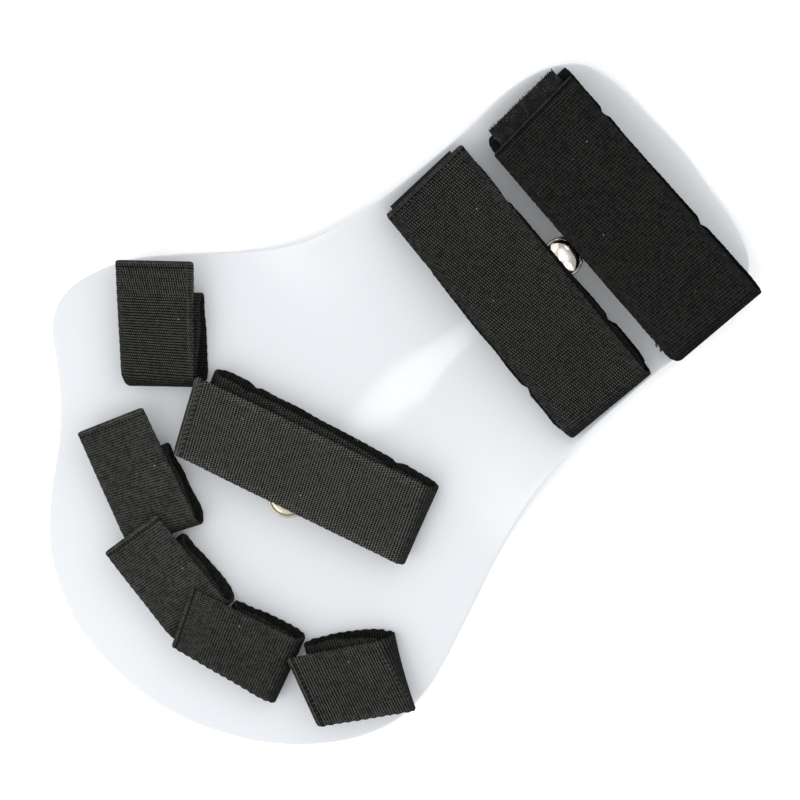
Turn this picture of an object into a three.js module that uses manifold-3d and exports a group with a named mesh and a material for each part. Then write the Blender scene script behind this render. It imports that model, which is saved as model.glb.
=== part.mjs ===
import * as THREE from 'three';
import { mergeVertices } from 'three/addons/utils/BufferGeometryUtils.js';
import Module from 'manifold-3d';

const wasm = await Module();
wasm.setup();

// A left hand's resting splint: a plastic board with riveted webbing loops.
// Millimetres. X runs from the fingertips to the forearm, Y to the thumb, Z up.
// Shapes are laid out from the fingertip end of the board's midline.

// Board
const boardLength = 292;
const thumbReach = 109; // midline to the edge of the thumb's lobe
const littleReach = 96; // midline to the edge beside the little finger
const forearmWidth = 118;
const boardThickness = 3;
const troughDepth = 11; // how far the forearm's edges rise
const troughStart = 0.46; // share of the length where the board begins to curve
const troughFull = 0.64; // share of the length from which the trough is full

// Webbing
const webbingThickness = 1.5;
const fingerWebbingWidth = 28;
const palmWebbingWidth = 31;
const forearmWebbingWidth = 38;
const fingerHollow = 6.4; // clear height inside a flattened finger loop
const palmHollow = 8;
const forearmHollow = 5; // at the board's raised edges
const fingerLoopLength = 36;
const fingerTabLength = 12; // free end past the fold
const palmLoopLength = 96;
const palmTabLength = 4;
const wristLoopLength = 112;
const forearmLoopLength = 112;
const forearmTabLength = 3;
const forearmSag = 2; // dip of the wide straps between the edges

// Rivets
const domeRadius = 7.7;
const domeHeight = 2.4;
const domeShankRadius = 2.4;
const loopRivetRadius = 4;
const loopRivetHeight = 0.9;
const loopShankRadius = 1.6;
const tailThickness = 1;

const gap = 0.3; // between pieces that touch

const halfForearm = forearmWidth / 2;
const tabLift = webbingThickness + 2 * gap; // raises a free end over a neighbour

// The board's edge, as shares of boardLength and of the side's own reach.
const thumbEdge = [
  { along: 0.000, across: 0.03 },
  { along: 0.012, across: 0.19 },
  { along: 0.040, across: 0.355 },
  { along: 0.089, across: 0.504 },
  { along: 0.125, across: 0.589 },
  { along: 0.160, across: 0.685 },
  { along: 0.195, across: 0.809 },
  { along: 0.224, across: 0.932 },
  { along: 0.250, across: 0.985 },
  { along: 0.283, across: 1.000 },
  { along: 0.325, across: 0.978 },
  { along: 0.362, across: 0.940 },
  { along: 0.413, across: 0.847 },
  { along: 0.481, across: 0.707 },
  { along: 0.533, across: 0.619 },
  { along: 0.584, across: 0.573 },
];
const forearmEdge = [
  { along: 0.650, across: 1.010 },
  { along: 0.730, across: 0.992 },
  { along: 0.800, across: 0.992 },
  { along: 0.860, across: 1.013 },
  { along: 0.900, across: 1.002 },
  { along: 0.940, across: 0.945 },
  { along: 0.972, across: 0.830 },
  { along: 0.988, across: 0.634 },
  { along: 0.996, across: 0.280 },
];
const littleEdge = [
  { along: 0.558, across: 0.670 },
  { along: 0.481, across: 0.752 },
  { along: 0.404, across: 0.854 },
  { along: 0.327, across: 0.952 },
  { along: 0.284, across: 0.992 },
  { along: 0.238, across: 1.000 },
  { along: 0.184, across: 0.950 },
  { along: 0.133, across: 0.854 },
  { along: 0.090, across: 0.733 },
  { along: 0.056, across: 0.595 },
  { along: 0.026, across: 0.430 },
  { along: 0.006, across: 0.220 },
];
const edgeSteps = 100;

// Loops. along and across place the middle of the layer that lies on the board, as shares
// of boardLength and thumbReach. turn is the way the free end points, from +X, in degrees.
// length and tab are shares of the kind's sizes. lean and foldLean are how far the top layer
// stands to the side at its free end and at its fold, as shares of the webbing's width.
// wide and tabWide are the top layer's width at the fold and at the free end. slant and
// foldSlant turn those two ends, as how far one edge runs ahead of the other per width.
const finger = {
  width: fingerWebbingWidth,
  hollow: fingerHollow,
  length: fingerLoopLength,
  tab: fingerTabLength,
  sag: 0,
};
const palm = {
  width: palmWebbingWidth,
  hollow: palmHollow,
  length: palmLoopLength,
  tab: palmTabLength,
  sag: 0,
};
const wrist = {
  width: forearmWebbingWidth,
  hollow: forearmHollow,
  length: wristLoopLength,
  tab: forearmTabLength,
  sag: forearmSag,
};
const forearm = { ...wrist, length: forearmLoopLength };

const loops = [
  {
    name: 'thumb_loop', kind: finger, along: 0.3315, across: 0.641, turn: 52.3,
    length: 0.985, tab: 1.02, lean: 0.165, foldLean: 0.165, wide: 0.96, tabWide: 1.03, lift: 0.4,
    slant: 0.067, foldSlant: 0.117, rivets: [0],
  },
  {
    name: 'index_loop', kind: finger, along: 0.187, across: 0.263, turn: 75.8,
    length: 0.90, tab: 1.37, lean: 0.125, foldLean: 0.125, wide: 0.98, tabWide: 0.93, lift: 0.4,
    slant: 0.071, foldSlant: 0.229, rivets: [0],
  },
  {
    name: 'middle_loop', kind: finger, along: 0.1385, across: -0.044, turn: 89.5,
    length: 0.88, tab: 1.0, lean: 0.125, foldLean: 0.125, wide: 0.92, tabWide: 0.83, lift: 1,
    slant: 0.046, foldSlant: 0.149, rivets: [0],
  },
  {
    name: 'ring_loop', kind: finger, along: 0.159, across: -0.378, turn: 113.9,
    length: 0.84, tab: 1.30, lean: 0.115, foldLean: 0.115, wide: 0.96, tabWide: 0.84, lift: 1,
    slant: -0.109, foldSlant: -0.031, rivets: [0],
  },
  {
    name: 'little_loop', kind: finger, along: 0.2425, across: -0.663, turn: 145.7,
    length: 0.96, tab: 0.38, lean: 0.23, foldLean: 0.02, wide: 1.02, tabWide: 1.0, lift: 1,
    slant: -0.330, foldSlant: -0.244, rivets: [0],
  },
  {
    name: 'palm_strap', kind: palm, along: 0.3714, across: -0.0065, turn: 111.9,
    length: 0.993, tab: 0.9, lean: 0.23, foldLean: 0.03, wide: 1.0, tabWide: 0.985, lift: 0.8,
    slant: -0.203, foldSlant: -0.143, rivets: [-0.23, 0.34],
  },
  {
    name: 'wrist_strap', kind: wrist, along: 0.7178, across: -0.015, turn: 90.4,
    length: 0.99, tab: -1.6, lean: 0.025, foldLean: 0.01, wide: 1.0, tabWide: 0.99, lift: 0,
    slant: -0.037, foldSlant: 0.032, rivets: [-0.27, 0.27],
  },
  {
    name: 'forearm_strap', kind: forearm, along: 0.892, across: -0.042, turn: 91.3,
    length: 1.0, tab: -1.6, lean: 0.07, foldLean: 0.03, wide: 1.0, tabWide: 1.0, lift: 0,
    slant: -0.105, foldSlant: 0.042, rivets: [-0.12, 0.34],
  },
];

// Big domed rivets on the midline, as shares of boardLength and thumbReach.
const domes = [
  { name: 'forearm_dome_rivet', along: 0.7913, across: -0.019 },
  { name: 'palm_dome_rivet', along: 0.3170, across: -0.0446 },
];

const white = new THREE.MeshStandardMaterial({ color: 0xe9eef4, roughness: 0.38, metalness: 0 });
const charcoal = new THREE.MeshStandardMaterial({ color: 0x32322e, roughness: 0.85, metalness: 0 });
const black = new THREE.MeshStandardMaterial({ color: 0x242320, roughness: 0.9, metalness: 0 });
const nickel = new THREE.MeshStandardMaterial({ color: 0xc9c4bb, roughness: 0.18, metalness: 1 });

const splint = new THREE.Group();

// Height of the board's underside: flat under the hand, a trough under the forearm.
function boardHeight(x, y) {
  const share = THREE.MathUtils.smoothstep(x / boardLength, troughStart, troughFull);
  return troughDepth * share * (y / halfForearm) ** 2;
}

function boardNormal(x, y) {
  const step = 0.5;
  const slopeX = (boardHeight(x + step, y) - boardHeight(x - step, y)) / (2 * step);
  const slopeY = (boardHeight(x, y + step) - boardHeight(x, y - step)) / (2 * step);
  return new THREE.Vector3(-slopeX, -slopeY, 1).normalize();
}

// A closed mesh with one vertex at each place.
function welded(geometry) {
  const bare = geometry.clone();
  bare.deleteAttribute('normal');
  bare.deleteAttribute('uv');
  return mergeVertices(bare, 1e-4);
}

function toSolid(geometry) {
  const mesh = welded(geometry);
  const vertProperties = new Float32Array(mesh.attributes.position.array);
  const triVerts = new Uint32Array(mesh.index.array);
  return new wasm.Manifold(new wasm.Mesh({ numProp: 3, vertProperties, triVerts }));
}

function toGeometry(solid) {
  const { vertProperties, triVerts, numProp } = solid.getMesh();
  const geometry = new THREE.BufferGeometry();
  const positions = new Float32Array(triVerts.length * 3);
  triVerts.forEach((vertex, corner) => {
    for (let axis = 0; axis < 3; axis += 1) {
      positions[3 * corner + axis] = vertProperties[vertex * numProp + axis];
    }
  });
  geometry.setAttribute('position', new THREE.BufferAttribute(positions, 3));
  geometry.computeVertexNormals();
  return geometry;
}

function addPiece(name, geometry, material) {
  const piece = new THREE.Mesh(geometry, material);
  piece.name = name;
  splint.add(piece);
  return piece;
}

// A turned rivet on +Z with its seat at z = 0. The head stands raised above the seat, and
// the tail is sunk flush into the board's underside. grow widens it to make its hole.
function rivetGeometry({ headRadius, headHeight, shankRadius, raised, grow }) {
  const tailRadius = headRadius * 0.9;
  const tailTop = -boardThickness + tailThickness + grow;
  const tailBottom = -boardThickness + gap / 2 - 3 * grow;
  const head = raised + gap;
  const top = headHeight + grow;
  const points = [
    new THREE.Vector2(0, tailBottom),
    new THREE.Vector2(tailRadius + grow, tailBottom),
    new THREE.Vector2(tailRadius + grow, tailTop),
    new THREE.Vector2(shankRadius + grow, tailTop),
    new THREE.Vector2(shankRadius + grow, head),
    new THREE.Vector2(headRadius + grow, head),
  ];
  const domeSteps = headRadius > loopRivetRadius ? 5 : 3;
  for (let step = 1; step < domeSteps; step += 1) {
    const angle = (step / domeSteps) * (Math.PI / 2);
    const radius = (headRadius + grow) * Math.cos(angle);
    points.push(new THREE.Vector2(radius, head + top * Math.sin(angle)));
  }
  points.push(new THREE.Vector2(0, head + top));
  const sides = headRadius > loopRivetRadius ? 20 : 12;
  return new THREE.LatheGeometry(points, sides).rotateX(Math.PI / 2);
}

// Every rivet, with the place and slope of the board under it.
const rivets = [];

function seatRivet(name, x, y, sizes) {
  const seat = new THREE.Matrix4();
  const turn = new THREE.Quaternion();
  turn.setFromUnitVectors(new THREE.Vector3(0, 0, 1), boardNormal(x, y));
  const place = new THREE.Vector3(x, y, boardHeight(x, y) + boardThickness);
  seat.compose(place, turn, new THREE.Vector3(1, 1, 1));
  rivets.push({ name, x, y, seat, sizes });
}

for (const dome of domes) {
  dome.x = dome.along * boardLength;
  dome.y = dome.across * thumbReach;
  seatRivet(dome.name, dome.x, dome.y, {
    headRadius: domeRadius,
    headHeight: domeHeight,
    shankRadius: domeShankRadius,
    raised: boardHeight(dome.x, domeRadius),
  });
}

for (const loop of loops) {
  loop.x = loop.along * boardLength;
  loop.y = loop.across * thumbReach;
  loop.angle = THREE.MathUtils.degToRad(loop.turn);
  loop.size = loop.kind.length * loop.length;
  for (const share of loop.rivets) {
    const number = loop.rivets.length > 1 ? `_${loop.rivets.indexOf(share) + 1}` : '';
    const x = loop.x + share * loop.size * Math.cos(loop.angle);
    const y = loop.y + share * loop.size * Math.sin(loop.angle);
    seatRivet(`${loop.name}_rivet${number}`, x, y, {
      headRadius: loopRivetRadius,
      headHeight: loopRivetHeight,
      shankRadius: loopShankRadius,
      raised: webbingThickness + gap,
    });
  }
}

function rivetSolid(rivet, grow) {
  const geometry = rivetGeometry({ ...rivet.sizes, grow });
  return toSolid(geometry.applyMatrix4(rivet.seat));
}

// Board: a formed sheet, cut to its outline and drilled for the rivets.
function boardOutline() {
  const points = [];
  const add = (row, reach) => {
    points.push(new THREE.Vector3(row.along * boardLength, row.across * reach, 0));
  };
  thumbEdge.forEach((row) => add(row, thumbReach));
  forearmEdge.forEach((row) => add(row, halfForearm));
  add({ along: 1, across: 0 }, halfForearm);
  [...forearmEdge].reverse().forEach((row) => add(row, -halfForearm));
  littleEdge.forEach((row) => add(row, -littleReach));
  const curve = new THREE.CatmullRomCurve3(points, true, 'centripetal');
  return curve.getSpacedPoints(edgeSteps).slice(0, -1).reverse();
}

function formedSheet() {
  const margin = 10;
  const rows = [-margin, troughStart * boardLength];
  const blendRows = 9;
  for (let row = 1; row < blendRows; row += 1) {
    rows.push(THREE.MathUtils.lerp(troughStart, troughFull, row / blendRows) * boardLength);
  }
  rows.push(troughFull * boardLength, boardLength + margin);
  const columns = [];
  const halfColumns = 12;
  const widest = Math.max(thumbReach, littleReach) + margin;
  for (let column = -halfColumns; column <= halfColumns; column += 1) {
    const share = column / halfColumns;
    columns.push(Math.sign(share) * widest * Math.abs(share) ** 1.15);
  }
  const sheet = new THREE.BoxGeometry(1, 1, 1, rows.length - 1, columns.length - 1, 1);
  const position = sheet.attributes.position;
  for (let vertex = 0; vertex < position.count; vertex += 1) {
    const row = Math.round((position.getX(vertex) + 0.5) * (rows.length - 1));
    const column = Math.round((position.getY(vertex) + 0.5) * (columns.length - 1));
    const top = position.getZ(vertex) > 0 ? boardThickness : 0;
    const height = boardHeight(rows[row], columns[column]);
    position.setXYZ(vertex, rows[row], columns[column], height + top);
  }
  return toSolid(sheet);
}

function board() {
  const shape = new THREE.Shape(boardOutline().map((point) => new THREE.Vector2(point.x, point.y)));
  const tallEnough = 4 * troughDepth + 4 * boardThickness;
  const prism = new THREE.ExtrudeGeometry(shape, { depth: tallEnough, bevelEnabled: false });
  prism.translate(0, 0, -boardThickness);
  let solid = toSolid(prism).intersect(formedSheet());
  for (const rivet of rivets) {
    solid = solid.subtract(rivetSolid(rivet, gap));
  }
  addPiece('board', toGeometry(solid), white);
}

// The line that the webbing follows in a loop, seen from its edge: from the end of the
// middle layer, round the inner fold, along the board, round the outer fold and back
// over the top to the free end, as distances along the strap and heights above the board.
function webbingLine(loop) {
  const { hollow, tab } = loop.kind;
  const half = loop.size / 2;
  const thick = webbingThickness;
  const bottom = gap + thick / 2;
  const middle = bottom + hollow + thick;
  const top = middle + thick + gap;
  const innerRadius = (middle - bottom) / 2;
  const outerRadius = (top - bottom) / 2;
  const innerCentre = half - innerRadius - thick / 2;
  const outerCentre = -half + outerRadius + thick / 2;
  const line = [];
  const run = (from, to, height, steps) => {
    for (let step = 0; step < steps; step += 1) {
      line.push([THREE.MathUtils.lerp(from, to, step / steps), height]);
    }
  };
  const longSteps = Math.max(3, Math.round(loop.size / 7));
  run(outerCentre + 2, innerCentre, middle, longSteps);
  const turns = 6;
  for (let step = 0; step < turns; step += 1) {
    const angle = Math.PI / 2 - (step / turns) * Math.PI;
    line.push([
      innerCentre + innerRadius * Math.cos(angle),
      bottom + innerRadius + innerRadius * Math.sin(angle),
    ]);
  }
  run(innerCentre, outerCentre, bottom, longSteps);
  for (let step = 0; step < turns; step += 1) {
    const angle = -Math.PI / 2 - (step / turns) * Math.PI;
    line.push([
      outerCentre + outerRadius * Math.cos(angle),
      bottom + outerRadius + outerRadius * Math.sin(angle),
    ]);
  }
  const freeEnd = half + tab * loop.tab;
  const topSteps = longSteps + 3;
  for (let step = 0; step <= topSteps; step += 1) {
    const along = THREE.MathUtils.lerp(outerCentre, freeEnd, step / topSteps);
    const raise = THREE.MathUtils.smoothstep(along, -half * 0.1, half * 0.6);
    line.push([along, top + raise * tabLift * loop.lift]);
  }
  return { line: line.map(([u, z]) => new THREE.Vector2(u, z)), bottom, top, freeEnd, outerCentre };
}

// The line's sides, half the webbing's thickness away from it.
function webbingSides(line) {
  return line.map((point, index) => {
    const before = line[Math.max(index - 1, 0)];
    const after = line[Math.min(index + 1, line.length - 1)];
    const way = after.clone().sub(before).normalize();
    return new THREE.Vector2(-way.y, way.x).multiplyScalar(webbingThickness / 2);
  });
}

// How high the layer on the board is carried where it crosses a domed rivet.
function domeRise(x, y) {
  const rises = domes.map((dome) => {
    const away = Math.hypot(x - dome.x, y - dome.y);
    const share = 1 - THREE.MathUtils.smoothstep(away, 1.4 * domeRadius, 2.1 * domeRadius);
    return share * (domeHeight + gap);
  });
  return Math.max(...rises);
}

// A loop is a bar bent round its line: its length runs along the line, its width across it.
function webbingLoop(loop) {
  const { line, bottom, top, freeEnd, outerCentre } = webbingLine(loop);
  const sides = webbingSides(line);
  const widthSteps = loop.kind === palm ? 6 : 2;
  const bar = new THREE.BoxGeometry(1, 1, 1, line.length - 1, widthSteps, 1);
  const cos = Math.cos(loop.angle);
  const sin = Math.sin(loop.angle);
  const half = loop.size / 2;
  const endHeight = (
    boardHeight(loop.x + half * cos, loop.y + half * sin)
    + boardHeight(loop.x - half * cos, loop.y - half * sin)
  ) / 2;
  const position = bar.attributes.position;
  for (let vertex = 0; vertex < position.count; vertex += 1) {
    const station = Math.round((position.getX(vertex) + 0.5) * (line.length - 1));
    const side = Math.sign(position.getZ(vertex));
    const point = line[station].clone().addScaledVector(sides[station], side);
    const rise = THREE.MathUtils.clamp((line[station].y - bottom) / (top - bottom), 0, 1);
    const toTab = THREE.MathUtils.clamp((point.x - outerCentre) / (freeEnd - outerCentre), 0, 1);
    const wide = 1 + rise * (THREE.MathUtils.lerp(loop.wide, loop.tabWide, toTab) - 1);
    const lean = rise * THREE.MathUtils.lerp(loop.foldLean, loop.lean, toTab);
    const slant = rise * THREE.MathUtils.lerp(loop.foldSlant, loop.slant, toTab);
    const across = loop.kind.width * (position.getY(vertex) * wide + lean);
    const along = point.x + slant * loop.kind.width * position.getY(vertex);
    const x = loop.x + along * cos - across * sin;
    const y = loop.y + along * sin + across * cos;
    const carried = boardHeight(x, y) + domeRise(x, y);
    const sag = loop.kind.sag * Math.max(0, 1 - (point.x / half) ** 2);
    const ground = (1 - rise) * carried + rise * (endHeight - sag);
    position.setXYZ(vertex, x, y, boardThickness + ground + point.y);
  }
  return bar;
}

board();
for (const loop of loops) {
  let solid = toSolid(webbingLoop(loop));
  for (const rivet of rivets.filter(({ name }) => name.startsWith(loop.name))) {
    const drill = new THREE.LatheGeometry([
      new THREE.Vector2(0, -gap),
      new THREE.Vector2(loopShankRadius + gap, -gap),
      new THREE.Vector2(loopShankRadius + gap, webbingThickness + 3 * gap),
      new THREE.Vector2(0, webbingThickness + 3 * gap),
    ], 12).rotateX(Math.PI / 2);
    solid = solid.subtract(toSolid(drill.applyMatrix4(rivet.seat)));
  }
  addPiece(loop.name, toGeometry(solid), loop.kind.sag > 0 ? black : charcoal);
}
for (const rivet of rivets) {
  const piece = addPiece(rivet.name, rivetGeometry({ ...rivet.sizes, grow: 0 }), nickel);
  piece.applyMatrix4(rivet.seat);
}

// The origin is the middle of the surface that the splint rests on.
const bounds = new THREE.Box3().setFromObject(splint, true);
const middle = bounds.getCenter(new THREE.Vector3());
splint.position.set(-middle.x, -middle.y, 0);

export default splint;
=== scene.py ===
import math
import random
from bisect import bisect_right

import bmesh
import bpy
from mathutils import Matrix, Vector, noise
from mathutils.geometry import interpolate_bezier


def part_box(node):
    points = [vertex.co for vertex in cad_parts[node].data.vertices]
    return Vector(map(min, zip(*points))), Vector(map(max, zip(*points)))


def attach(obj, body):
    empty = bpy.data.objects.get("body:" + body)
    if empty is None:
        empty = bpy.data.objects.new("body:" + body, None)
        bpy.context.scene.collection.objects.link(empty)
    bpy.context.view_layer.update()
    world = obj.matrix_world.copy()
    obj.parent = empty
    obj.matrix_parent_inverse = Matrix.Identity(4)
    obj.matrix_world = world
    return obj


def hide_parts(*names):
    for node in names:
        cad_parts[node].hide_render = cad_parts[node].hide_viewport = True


# A left hand's resting splint. Metres, +Z up, fingertips towards -X, thumb towards +Y.
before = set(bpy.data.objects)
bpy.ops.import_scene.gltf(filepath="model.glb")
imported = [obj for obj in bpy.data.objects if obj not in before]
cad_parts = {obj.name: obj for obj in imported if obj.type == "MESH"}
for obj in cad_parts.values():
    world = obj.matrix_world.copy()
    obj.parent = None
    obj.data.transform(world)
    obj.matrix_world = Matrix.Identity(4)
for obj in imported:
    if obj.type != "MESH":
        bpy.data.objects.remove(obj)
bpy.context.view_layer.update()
random.seed(11)
noise.seed_set(11)  # for noise_vector, which the clock would seed otherwise
print("frame loaded")


def mix(a, b, share):
    return a + (b - a) * share


def ease(value, low, high):
    share = min(max((value - low) / (high - low), 0), 1)
    return share * share * (3 - 2 * share)


def addObject(name, bm):
    mesh = bpy.data.meshes.new(name)
    bm.to_mesh(mesh)
    bm.free()
    made = bpy.data.objects.new(name, mesh)
    bpy.context.scene.collection.objects.link(made)
    return made


def addPiece(name, bm, finish, nodes=(), sharp=40):
    piece = addObject(name, bm)
    piece.data.shade_smooth()
    piece.data.set_sharp_from_angle(angle=math.radians(sharp))
    piece.data.materials.append(finish)
    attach(piece, "root")
    if nodes:
        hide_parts(*nodes)
    return piece


# Shader maths: a Wire is one output socket, and sums on it add Math nodes.
class Wire:
    def __init__(self, tree, socket):
        self.tree = tree
        self.socket = socket

    def math(self, operation, *values):
        node = self.tree.nodes.new("ShaderNodeMath")
        node.operation = operation
        for socket, value in zip(node.inputs, values):
            plug(self.tree, socket, value)
        return Wire(self.tree, node.outputs[0])

    def __add__(self, other):
        return self.math("ADD", self, other)

    def __sub__(self, other):
        return self.math("SUBTRACT", self, other)

    def __rsub__(self, other):
        return self.math("SUBTRACT", other, self)

    def __mul__(self, other):
        return self.math("MULTIPLY", self, other)

    def __truediv__(self, other):
        return self.math("DIVIDE", self, other)

    __radd__ = __add__
    __rmul__ = __mul__

    def wave(self):
        return self.math("COSINE", self * (2 * math.pi)) * 0.5 + 0.5

    def size(self):
        return self.math("ABSOLUTE", self)

    def step(self, low, high):
        node = self.tree.nodes.new("ShaderNodeMapRange")
        node.interpolation_type = "SMOOTHSTEP"
        for name, value in (("Value", self), ("From Min", low), ("From Max", high)):
            plug(self.tree, node.inputs[name], value)
        return Wire(self.tree, node.outputs[0])


def plug(tree, socket, value):
    if isinstance(value, Wire):
        tree.links.new(value.socket, socket)
    else:
        socket.default_value = value


class Finish:
    def __init__(self, name, **fixed):
        self.material = bpy.data.materials.new(name)
        self.material.use_nodes = True
        self.tree = self.material.node_tree
        self.shader = self.tree.nodes["Principled BSDF"]
        for key, value in fixed.items():
            self.shader.inputs[key.replace("_", " ")].default_value = value

    def node(self, kind, settings=None, inputs=None, output=0):
        node = self.tree.nodes.new(kind)
        for key, value in (settings or {}).items():
            setattr(node, key, value)
        for key, value in (inputs or {}).items():
            plug(self.tree, node.inputs[key], value)
        return Wire(self.tree, node.outputs[output])

    def blend(self, share, low, high):
        colours = [value if isinstance(value, Wire) else (*value, 1) for value in (low, high)]
        return self.node(
            "ShaderNodeMix", {"data_type": "RGBA"}, {0: share, 6: colours[0], 7: colours[1]}, 2
        )

    def noise(self, vector, scale, detail=2, roughness=0.5):
        inputs = {"Vector": vector, "Scale": scale, "Detail": detail, "Roughness": roughness}
        return self.node("ShaderNodeTexNoise", None, inputs)

    def place(self):
        return self.node("ShaderNodeTexCoord", None, None, 3)

    def bump(self, height, distance, strength=1.0):
        inputs = {"Height": height, "Distance": distance, "Strength": strength}
        return self.node("ShaderNodeBump", None, inputs)

    def set(self, **links):
        for key, value in links.items():
            plug(self.tree, self.shader.inputs[key.replace("_", " ")], value)
        return self.material


# Board
board = {
    "thickness": 0.003,
    "thumbReach": 0.109,
    "littleReach": 0.096,
    "forearmWidth": 0.118,
    "troughDepth": 0.011,
    "troughStart": 0.46,  # shares of the board's length
    "troughFull": 0.64,
    "rim": 0.0009,  # radius of the rounded edge
    "rimSteps": 3,
    "outlineSteps": 7,  # per stretch of the outline
    "rubbedPlace": (0.1587, -0.0011),  # a smoother patch, from the tips and from the midline
    "rubbedSize": (0.030, 0.0085),  # half sizes
    "low": (0.568, 0.582, 0.600),
    "high": (0.595, 0.606, 0.618),
    "cloudPace": 9,
    "hazePace": 60,
    "grainPace": 700,
    "wavePace": 22,
    "scratchPace": (40, 900, 1),  # along and across them
    "scratchTurn": 0.4,
    "roughness": 0.30,
    "hazeRoughness": 0.10,
    "scratchRoughness": 0.06,
    "relief": 0.00035,
    "reliefShare": 0.35,
    "bendPitch": 0.003,
    "flatPitch": 0.008,
    "acrossPitch": 0.003,
    "slopeStep": 0.0005,
    "weld": 1e-6,
    "sharp": 30,  # edges past this angle stay crisp, in degrees
}
# The edge, as shares of the length and of each side's own reach
thumbEdge = [
    (0.000, 0.03), (0.012, 0.19), (0.040, 0.355), (0.089, 0.504), (0.125, 0.589), (0.160, 0.685),
    (0.195, 0.809), (0.224, 0.932), (0.250, 0.985), (0.283, 1.000), (0.325, 0.978), (0.362, 0.940),
    (0.413, 0.847), (0.481, 0.707), (0.533, 0.619), (0.584, 0.573),
]
forearmEdge = [
    (0.650, 1.010), (0.730, 0.992), (0.800, 0.992), (0.860, 1.013), (0.900, 1.002), (0.940, 0.945),
    (0.972, 0.830), (0.988, 0.634), (0.996, 0.280),
]
littleEdge = [
    (0.558, 0.670), (0.481, 0.752), (0.404, 0.854), (0.327, 0.952), (0.284, 0.992), (0.238, 1.000),
    (0.184, 0.950), (0.133, 0.854), (0.090, 0.733), (0.056, 0.595), (0.026, 0.430), (0.006, 0.220),
]
boardLow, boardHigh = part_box("board")
boardLength = boardHigh.x - boardLow.x
tipX = boardLow.x
midY = boardHigh.y - board["thumbReach"]
halfForearm = board["forearmWidth"] / 2


def boardHeight(x, y):
    share = ease((x - tipX) / boardLength, board["troughStart"], board["troughFull"])
    return board["troughDepth"] * share * ((y - midY) / halfForearm) ** 2


def boardNormal(x, y):
    step = board["slopeStep"]
    slopeX = (boardHeight(x + step, y) - boardHeight(x - step, y)) / (2 * step)
    slopeY = (boardHeight(x, y + step) - boardHeight(x, y - step)) / (2 * step)
    return Vector((-slopeX, -slopeY, 1)).normalized()


def smoothOutline(corners, steps):
    outline = []
    count = len(corners)
    for index in range(count):
        a, b, c, d = (corners[(index + offset) % count] for offset in (-1, 0, 1, 2))
        ab, bc, cd = (math.sqrt((q - p).length) for p, q in ((a, b), (b, c), (c, d)))
        leave = c * ab**2 - a * bc**2 + b * (2 * ab**2 + 3 * ab * bc + bc**2)
        arrive = b * cd**2 - d * bc**2 + c * (2 * cd**2 + 3 * cd * bc + bc**2)
        leave /= 3 * ab * (ab + bc)
        arrive /= 3 * cd * (cd + bc)
        outline += interpolate_bezier(b, leave, arrive, c, steps + 1)[:-1]
    return outline


def boardCorners():
    rows = [(along, across * board["thumbReach"]) for along, across in thumbEdge]
    rows += [(along, across * halfForearm) for along, across in forearmEdge]
    rows += [(1, 0)]
    rows += [(along, -across * halfForearm) for along, across in reversed(forearmEdge)]
    rows += [(along, -across * board["littleReach"]) for along, across in littleEdge]
    return [Vector((tipX + along * boardLength, midY + across, 0)) for along, across in rows]


def cutGrid(bm, label):
    # Cuts the flat top into cells, so that it can follow the trough.
    lines = []
    bendStart = tipX + board["troughStart"] * boardLength
    bendEnd = tipX + board["troughFull"] * boardLength
    x = bendStart
    while x < boardHigh.x:
        lines.append((Vector((x, 0, 0)), Vector((1, 0, 0))))
        x += board["bendPitch"] if x < bendEnd else board["flatPitch"]
    rows = int(halfForearm / board["acrossPitch"]) + 1
    for row in range(-rows, rows + 1):
        lines.append((Vector((0, midY + row * board["acrossPitch"], 0)), Vector((0, 1, 0))))
    for place, normal in lines:
        faces = [face for face in bm.faces if face.material_index == label]
        geom = list({part for face in faces for part in (*face.verts, *face.edges)}) + faces
        bmesh.ops.bisect_plane(bm, geom=geom, dist=1e-7, plane_co=place, plane_no=normal)


def boardMesh():
    bm = bmesh.new()
    outline = smoothOutline(boardCorners(), board["outlineSteps"])
    face = bm.faces.new([bm.verts.new(point) for point in outline])
    face.normal_update()
    if face.normal.z < 0:
        bmesh.ops.reverse_faces(bm, faces=[face])
    half = board["thickness"] / 2
    made = bmesh.ops.extrude_face_region(bm, geom=[face])
    raised = [part for part in made["geom"] if isinstance(part, bmesh.types.BMVert)]
    bmesh.ops.translate(bm, verts=raised, vec=(0, 0, half - board["rim"]))
    top = next(part for part in made["geom"] if isinstance(part, bmesh.types.BMFace))
    under = [face for face in bm.faces if len(face.verts) > 4 and face != top]
    bmesh.ops.delete(bm, geom=under, context="FACES")
    for step in range(board["rimSteps"]):
        start, end = (math.pi / 2 * k / board["rimSteps"] for k in (step, step + 1))
        bmesh.ops.inset_region(
            bm, faces=[top], thickness=board["rim"] * (math.cos(start) - math.cos(end)),
            depth=0, use_even_offset=True,
        )
        rise = board["rim"] * (math.sin(end) - math.sin(start))
        bmesh.ops.translate(bm, verts=list(top.verts), vec=(0, 0, rise))
    top.material_index = 1
    cutGrid(bm, 1)
    bmesh.ops.mirror(
        bm, geom=bm.verts[:] + bm.edges[:] + bm.faces[:], axis="Z", merge_dist=board["weld"]
    )
    for face in bm.faces:
        face.material_index = 0
    bmesh.ops.recalc_face_normals(bm, faces=bm.faces[:])
    for vert in bm.verts:
        vert.co.z += half + boardHeight(vert.co.x, vert.co.y)
    return bm


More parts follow.
